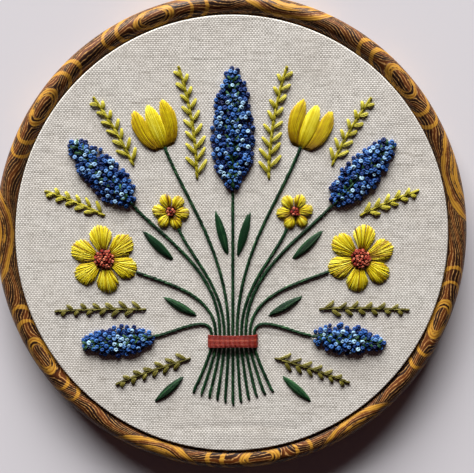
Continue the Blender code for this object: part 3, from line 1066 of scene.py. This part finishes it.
spikes = {
    "taper": 0.22,
    "margin": 0.0009,
    "upperMargin": 2.4,  # the upper knots' margin, in lower ones
    "upperPitch": 1.08,  # and their spacing, in the same way
    "missing": 0.12,  # share of the upper knots left out, so that green shows
    "strays": (0.00026, 0.00030),
    "overlap": 0.00085,  # how far the upper knots ride above the lower
    "tones": (0.36, 0.60),
    "toneSpreads": (0.16, 0.22),
    "size": 0.99,
    "sizeSpread": 0.07,
    "sizeLimits": (0.82, 1.12),
    "tilt": 0.30,
    "tiltSpread": 0.10,
    "stalkLean": 38,
    "stalkShares": (0.10, 0.86),  # where along the axis the first and the last stalk stand
    "stalkPitch": 0.0036,
    "stalkReach": 0.62,
    "stalkStrands": 2,
    "stalkLift": 0.0013,
    "stalkTone": 0.62,
    "axisReach": 0.9,
    "axisPoints": 24,
    "axisLift": 0.0010,
    "axisTone": 0.42,
}


def makeSpike(flower, tag, side):
    # Two layers of knots in a tapering oval: dark ones low and paler ones raised over the middle by the
    # overlap x sqrt(1 - share squared). A green axis and its stalks show between them.
    name = flower.name + tag
    draw = chance(name)
    halfLength, halfWidth = flower.length / 2, flower.width / 2

    def ellipse(spots, margin):
        narrow = 1 - spikes["taper"] * spots[:, 1] / halfLength
        return np.hypot(spots[:, 0] / (narrow * (halfWidth - margin)), spots[:, 1] / (halfLength - margin))

    reach = halfLength + knot["pitch"]
    margin, pitch, strays = spikes["margin"], knot["pitch"], spikes["strays"]
    upper, upperPitch = margin * spikes["upperMargin"], pitch * spikes["upperPitch"]
    low = scatter(lambda places: ellipse(places, margin) < 1, reach, pitch, draw, strays[0])
    high = scatter(lambda places: ellipse(places, upper) < 1, reach, upperPitch, draw, strays[1], 0.5)
    high = high[draw.random(len(high)) > spikes["missing"]]
    layers = []
    rises = (0.0, spikes["overlap"])
    for spots, lift, tone, spread in zip((low, high), rises, spikes["tones"], spikes["toneSpreads"]):
        lifts = lift * dome(ellipse(spots, 0.0)) + draw.uniform(-0.0001, 0.00012, len(spots))
        sizes = draw.normal(spikes["size"], spikes["sizeSpread"], len(spots)).clip(*spikes["sizeLimits"])
        away = np.array([1 / halfWidth**2, 1 / halfLength**2])
        tilts = -spikes["tilt"] * spots * away * halfWidth
        tilts = tilts + draw.normal(0, spikes["tiltSpread"], spots.shape)
        tones = toneSpread(draw, tone, spread, len(spots), 0.04)
        layers.append((spots, lifts, sizes, tilts, tones))
    spots, lifts, sizes, tilts, tones = (np.concatenate(column) for column in zip(*layers))
    there = placed(spots + np.array([0.0, halfLength]), flower, side)
    knots = knotCoils(there, lifts, sizes, tilts, tones, draw)
    makeStitches(name + "_knots", [knots], "blue_thread", [name])
    rememberReverse("blue_thread", there, there)
    shares = np.linspace(*spikes["stalkShares"], max(int(flower.length / spikes["stalkPitch"]), 5))
    root = np.stack([np.zeros_like(shares), shares * flower.length], -1)
    out = halfWidth * spikes["stalkReach"] * np.sqrt(np.clip(1 - (2 * shares - 1) ** 2, 0.15, 1))
    tips = [root + heading(spikes["stalkLean"] * hand) * out[:, None] for hand in (-1, 1)]
    starts = placed(np.concatenate([root, root]), flower, side)
    ends = placed(np.concatenate(tips), flower, side)
    parts = strandSet(starts, ends, spikes["stalkStrands"], spikes["stalkLift"], spikes["stalkTone"], draw)
    rise = np.linspace(0.0, flower.length * spikes["axisReach"], spikes["axisPoints"])
    axis = placed(np.stack([np.zeros_like(rise), rise], -1), flower, side)
    parts += rope(axis, draw, spikes["axisTone"], lift=spikes["axisLift"])
    makeStitches(name + "_pedicels", parts, "dark_green_thread")


petals = {
    "count": 6,
    "notch": 0.40,
    "strands": 1750,  # strands for each metre of a petal's outer edge
    "outermost": 0.93,  # where the last strand lies, as a share of the petal's half turn
    "rimTurn": 0.93,
    "rootTurn": 0.80,  # the strands draw together towards the eye
    "drawIn": 0.7,
    "underEye": 0.85,  # every third strand starts under the eye, at this share of its radius
    "pastEye": (0.02, 0.22),  # and the others at random between these shares of the way to the rim
    "stray": 0.012,
    "half": 0.00024,
    "smallHalf": 0.000216,  # in a blossom whose radius is less than smallSize
    "smallSize": 0.01,
    "lift": 0.00018,
    "pad": 0.00052,  # how much higher the middle of a petal lies
    "tone": 0.68,
    "toneSpread": 0.21,
    # painted shade: how much darker strands are painted towards a petal's edges and near its root
    "edgeShade": 0.16,
    "rootShade": 0.42,
    "rootShare": 0.32,
}

# The eye of a blossom: small knots heaped over a satin bed whose dark tone is painted shade between them
eyes = {
    "share": 0.27,  # the eye's width beside the blossom's
    "size": 0.60,  # a knot's size beside a spike's knot
    "pitch": 0.00118,
    "stray": 0.00014,
    "heap": 0.0011,
    "tilt": 0.35,
    "tone": 0.60,
    "toneSpread": 0.22,
    "bedPitch": 0.00044,
    "bedReach": 0.94,  # where the bed's last rows lie, as a share of the eye's radius
    "bedHeap": 0.00075,
    "bedTone": 0.06,
}


def makeEye(name, eye, middle, side, draw):
    # The knots ride up by their heap x sqrt(1.05 - share squared), and the bed by its own heap x
    # sqrt(1 - row squared).
    reach = eye + 0.001
    spots = scatter(lambda places: np.hypot(*places.T) < eye, reach, eyes["pitch"], draw, eyes["stray"])
    share = np.hypot(*spots.T) / eye
    lifts = eyes["heap"] * np.sqrt(np.clip(1.05 - share**2, 0, 1))
    lifts = lifts + draw.uniform(-0.00012, 0.00012, len(spots))
    sizes = draw.normal(eyes["size"], 0.05, len(spots))
    tones = toneSpread(draw, eyes["tone"], eyes["toneSpread"], len(spots), 0.05)
    tilts = -eyes["tilt"] * spots / eye + draw.normal(0, 0.12, spots.shape)
    there = mirrored(spots + middle, side)
    rows = np.linspace(-eyes["bedReach"], eyes["bedReach"], int(eye * 2 / eyes["bedPitch"]))
    ends = np.stack([dome(rows) * 0.97, rows], -1) * eye
    share = np.linspace(-1, 1, thread["points"])
    bed = np.stack([ends[:, :1] * share, np.broadcast_to(ends[:, 1:], (len(rows), len(share)))], -1)
    # The bed, in a near-darkest tone: painted shade in the gaps between the knots
    parts = [laid(mirrored(bed + middle, side), eyes["bedHeap"] * dome(rows), eyes["bedTone"])]
    parts.append(knotCoils(there, lifts, sizes, tilts, tones, draw))
    makeStitches(name + "_eye_knots", parts, "rust_thread", [name + "_eye"])
    rememberReverse("rust_thread", there, there)


def makeBlossom(flower, tag, side):
    # Each petal is a fan of satin strands from the eye's edge to the rim, whose radius rises and falls
    # once a petal: radius = half the size x (1 - notch + notch x sqrt|cos|). The middle strands ride
    # highest, and each is painted darker near its root by the eye and towards the petal's edge, where the
    # strands lie lower, as painted shade.
    name = flower.name + tag
    draw = chance(name)
    size = flower.width / 2
    half = petals["half"] if size > petals["smallSize"] else petals["smallHalf"]
    eye = flower.width * eyes["share"] / 2
    middle = np.array([flower.x, flower.y]) + heading(flower.lean) * flower.length / 2
    count = int(2 * np.pi * size / petals["count"] * petals["strands"])
    parts = []
    for k in range(petals["count"]):
        across = np.linspace(-petals["outermost"], petals["outermost"], count)
        across = np.clip(across + draw.normal(0, petals["stray"], count), -0.97, 0.97)
        lobe = np.sqrt(np.abs(np.cos(np.pi / 2 * across)))
        rim = size * (1 - petals["notch"] + petals["notch"] * lobe)
        rim = rim * draw.normal(1.0, petals["stray"], count)
        middleTurn = flower.lean + 360 / petals["count"] * k
        outer = middleTurn + across * 180 / petals["count"] * petals["rimTurn"]
        inner = middleTurn + across * 180 / petals["count"] * petals["rootTurn"]
        root = eye + (size - eye) * draw.uniform(*petals["pastEye"], count)
        root = np.where(np.arange(count) % 3 == 1, eye * petals["underEye"], root)
        share = np.linspace(0, 1, thread["points"] + 2)
        radius = root[:, None] + (rim - root)[:, None] * share
        turn = inner[:, None] + (outer - inner)[:, None] * share ** petals["drawIn"]
        flat = mirrored(heading(turn) * radius[..., None] + middle, side)
        lift = petals["lift"] + petals["pad"] * dome(across) + draw.uniform(0, 0.00008, count)
        own = draw.normal(petals["tone"], petals["toneSpread"], count)
        # Painted shade: strands darker towards the petal's edges, where they lie lower, and near the eye
        own = own - petals["edgeShade"] * np.abs(across) ** 3
        nearRoot = np.clip(petals["rootShare"] - share, 0, 1) / petals["rootShare"]
        shade = petals["rootShade"] * nearRoot * draw.uniform(0.5, 1.0, (count, 1))
        parts.append(laid(flat, lift, np.clip(own[:, None] - shade, 0, 1), half))
        rememberReverse("yellow_thread", flat[::2, 0], flat[::2, -1])
    makeStitches(name + "_petals", parts, "yellow_thread", [name])
    makeEye(name, eye, middle, side, draw)


cups = {
    "shoulder": 0.70,  # share of the length at which the cup is at its widest, and its rim lowest
    "pitch": 0.00032,
    "edge": 0.985,  # where the outermost strands lie, as a share of the half width
    "rimPower": 0.8,
    "footStart": 0.015,  # every second strand starts at the foot, as a share of the length
    "highStart": (0.12, 0.35),  # and the others at random between these
    "stray": 0.008,
    "lift": 0.00020,
    "pad": 0.00050,  # how much higher the middle of a petal lies
    "front": 0.00012,  # and the front petal above the side ones
    "sideTone": 0.52,
    "frontTone": 0.78,
    "toneSpread": 0.08,
    # painted shade: how much darker strands are painted towards a petal's edges and near the foot
    "edgeShade": 0.14,
    "rootShade": 0.45,
    "rootShare": 0.4,
}


def makeCup(flower, tag, side):
    # Satin strands run up the cup like meridians of a ball seen from the side: x = across x half width x
    # the ball's own half width at that height. The rim rises and falls over three petals as |cos|.
    name = flower.name + tag
    draw = chance(name)
    count = int(flower.width / cups["pitch"])
    across = np.linspace(-cups["edge"], cups["edge"], count)
    peak = np.abs(np.cos(1.5 * np.pi * across))
    rim = cups["shoulder"] + (1 - cups["shoulder"]) * peak ** cups["rimPower"]
    top = flower.length * rim * draw.normal(1.0, cups["stray"], count)
    share = np.linspace(0, 1, thread["points"] + 2)
    start = np.where(np.arange(count) % 2 == 0, cups["footStart"], draw.uniform(*cups["highStart"], count))
    rise = start[:, None] + (1 - start)[:, None] * share
    y = top[:, None] * rise
    ball = dome(1 - np.clip(y / (flower.length * cups["shoulder"]), 0, 1))
    x = across[:, None] * flower.width / 2 * ball
    onSide = np.abs(np.abs(across) - 2 / 3) < 1 / 3
    local = np.where(onSide, (np.abs(across) - 2 / 3) * 3, across * 3)
    lift = cups["lift"] + cups["pad"] * dome(local) + np.where(onSide, 0.0, cups["front"])
    own = np.where(onSide, cups["sideTone"], cups["frontTone"]) + draw.normal(0, cups["toneSpread"], count)
    # Painted shade: strands darker towards each petal's edges and near the cup's foot
    own = own - cups["edgeShade"] * np.abs(local) ** 3
    nearRoot = np.clip(cups["rootShare"] - rise, 0, 1) / cups["rootShare"]
    tone = np.clip(own[:, None] - cups["rootShade"] * nearRoot, 0, 1)
    flat = placed(np.stack([x, y], -1), flower, side)
    makeStitches(name + "_petals", [laid(flat, lift, tone)], "yellow_thread", [name])
    rememberReverse("yellow_thread", flat[::2, 0], flat[::2, -1])


blades = {
    "strands": 8,
    "half": 0.000252,
    "short": 0.10,  # the most that a strand stops short of a tip, as a share of the length
    "lift": 0.00015,
    "pad": 0.00035,
    "tone": 0.45,
    "toneSpread": 0.14,
}


def makeBlade(blade, tag, side):
    # Long strands from tip to tip of a lens: x = across x half the width x sin(pi x share of the length).
    name = blade.name + tag
    draw = chance(name)
    count = blades["strands"]
    across = np.linspace(-1, 1, count)
    share = np.linspace(0, 1, thread["points"] + 3)
    first = draw.uniform(0.0, blades["short"], count)
    last = 1 - draw.uniform(0.0, blades["short"], count)
    rise = first[:, None] + (last - first)[:, None] * share
    x = (across * (blade.width / 2 - thread["half"]))[:, None] * np.sin(np.pi * rise)
    flat = placed(np.stack([x, rise * blade.length], -1), blade, side)
    lift = blades["lift"] + blades["pad"] * (1 - across**2)
    tone = toneSpread(draw, blades["tone"], blades["toneSpread"], count)[:, None]
    makeStitches(name + "_satin", [laid(flat, lift, tone, blades["half"])], "dark_green_thread", [name])
    rememberReverse("dark_green_thread", flat[:, 0], flat[:, -1])


sprigs = {
    "leafletLean": 40,
    "leanSpread": 3,
    "shrink": 0.45,
    "strands": 3,
    "half": 0.00027,
    "lift": 0.00022,
    "bow": 0.00022,
    "spineSteps": 12,
    "spinePoints": 24,
    "spineStitch": 0.0038,
    "spineSlant": 0.0002,
    "spineTones": {"lime_thread": 0.46, "olive_thread": 0.38},
    "leafletTones": {"lime_thread": 0.64, "olive_thread": 0.56},
}


def spinePoints(sprig, shares):
    # A spine that bends at an even rate: the sum of short steps, each along its own heading
    steps = sprigs["spineSteps"]
    middle = (np.arange(steps) + 0.5) / steps
    leans = sprig.lean + sprig.bend * shares[:, None] * middle
    run = heading(leans) * (sprig.length * shares / steps)[:, None, None]
    return np.array([sprig.x, sprig.y]) + run.sum(1), sprig.lean + sprig.bend * shares


def makeSprig(sprig, tag, side):
    # A spine in stem stitch with leaflets on both hands, each a short straight stitch that leans off it
    name = sprig.name + tag
    draw = chance(name)
    path, _ = spinePoints(sprig, np.linspace(0, 1, sprigs["spinePoints"]))
    tone = sprigs["spineTones"][sprig.slot]
    parts = rope(mirrored(path, side), draw, tone, sprigs["spineStitch"], sprigs["spineSlant"])
    starts, ends = [], []
    for hand in (-1, 1):
        shares = (np.arange(sprig.pairs) + 0.7 + 0.25 * hand) / (sprig.pairs + 0.8)
        root, lean = spinePoints(sprig, shares)
        reach = sprig.reach * (1 - sprigs["shrink"] * shares) * draw.normal(1.0, 0.04, sprig.pairs)
        turn = lean + hand * sprigs["leafletLean"] + draw.normal(0, sprigs["leanSpread"], sprig.pairs)
        starts.append(root)
        ends.append(root + heading(turn) * reach[:, None])
    starts, ends = (mirrored(np.concatenate(places), side) for places in (starts, ends))
    tone = sprigs["leafletTones"][sprig.slot]
    leaflet = (sprigs["strands"], sprigs["lift"], tone, draw, sprigs["half"], sprigs["bow"])
    parts += strandSet(starts, ends, *leaflet)
    makeStitches(name + "_stitches", parts, sprig.slot, [name])
    rememberReverse(sprig.slot, starts, ends)


tie = {
    "threads": 12,
    "half": 0.00024,
    "points": 24,
    "sideMargin": 0.0003,
    "endMargin": 0.0002,
    "topMargin": 0.0001,
    "waist": 0.10,  # how much the strands draw together in the middle
    "stray": 0.00003,
    "tone": 0.50,
    "toneSpread": 0.17,
}


def makeTie():
    # Long strands laid side by side over the gathered stems and into the linen at both ends: their height
    # is that of the solid x a very low power of a sine, and they draw together by a sine at the waist.
    low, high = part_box("tie")
    draw = chance("tie")
    rows = np.linspace(low.y + tie["sideMargin"], high.y - tie["sideMargin"], tie["threads"])[:, None]
    share = np.linspace(0, 1, tie["points"])
    swing = np.sin(np.pi * share)
    middle = (low.y + high.y) / 2
    x = (2 * share - 1) * ((high.x - low.x) / 2 - tie["endMargin"])
    y = middle + (rows - middle) * (1 - tie["waist"] * swing) + draw.normal(0, tie["stray"], rows.shape)
    top = high.z - tie["half"] * 2 - thread["surface"] - tie["topMargin"]
    pad = 1 - 0.10 * ((rows - middle) / (high.y - middle)) ** 2
    height = thread["surface"] - thread["dive"] + (top * pad + thread["dive"]) * swing ** 0.16
    lines = np.stack([np.broadcast_to(x, y.shape), y, height], -1)
    width = np.full(share.shape, tie["half"] * 1.05)
    tone = toneSpread(draw, tie["tone"], tie["toneSpread"], rows.shape)
    satin = tubes(lines, width, width * 0.9, thread["sides"], tone)
    makeStitches("tie_satin", [satin], "rust_thread", ["tie"])
    rememberReverse("rust_thread", lines[:, 0, :2], lines[:, -1, :2])


def makeFlowers():
    makers = {"spike": makeSpike, "cup": makeCup, "blossom": makeBlossom}
    for slot, flower in enumerate(flowerRows):
        for tag, side in sideRows if slot else (("", 1),):
            makeStem(slot, flower, tag, side)
            makers[flower.kind](flower, tag, side)
        print("flower:", flower.name)


def makeLeaves():
    for tag, side in sideRows:
        for blade in bladeRows:
            makeBlade(blade, tag, side)
        for sprig in sprigRows:
            makeSprig(sprig, tag, side)
    print("leaves:", len(bladeRows) * 2, "blades and", len(sprigRows) * 2, "sprigs")


def makeReverse():
    # The back of the work: each strand runs flat under the linen from where one stitch ends to where the
    # next begins, and sags a little as a sine.
    under = linen["top"] - linen["thickness"] - reverse["depth"]
    share = np.linspace(0, 1, reverse["points"])
    for slot, hops in reverseLines.items():
        draw = chance("reverse " + slot)
        hops = np.concatenate(hops)
        flat = hops[:, :1] + (hops[:, 1:] - hops[:, :1]) * share[:, None]
        sag = -reverse["sag"] * np.sin(np.pi * share) * draw.uniform(0.6, 1.6, (len(hops), 1))
        lines = np.concatenate([flat, (under + sag)[..., None]], -1)
        width = reverse["half"] * np.sin(np.pi * (0.12 + 0.76 * share))
        tone = toneSpread(draw, reverse["tone"], reverse["toneSpread"], (len(hops), 1))
        strands = tubes(lines, width, width * reverse["squash"], reverse["sides"], tone)
        makeStitches("reverse_" + slot, [strands], slot)
        print("reverse side:", slot, len(hops), "strands")


def floorFinish():
    made, tree, shader = material("paleFloor", Roughness=0.85, Specular_IOR_Level=0.0)
    cloud = noise(tree, objectPlace(tree), 3.0, 2.0)
    dim = tuple(c * 0.975 for c in studio["floorColour"])
    tree.links.new(mixed(tree, cloud, dim, studio["floorColour"]), shader.inputs["Base Color"])
    return made


def makeFloor():
    half = studio["floorSize"] / 2
    mesh = bpy.data.meshes.new("floor")
    corners = [(-half, -half, 0), (half, -half, 0), (half, half, 0), (-half, half, 0)]
    mesh.from_pydata(corners, [], [(0, 1, 2, 3)])
    mesh.materials.append(floorFinish())
    addObject("floor", mesh)


makeCamera()
makeLight()
makeFloor()
for slotName in threadLooks:
    threadFinish(slotName)
makeOuterHoop()
makeInnerHoop()
makeLinen()
makeFlowers()
makeLeaves()
makeTie()
makeReverse()
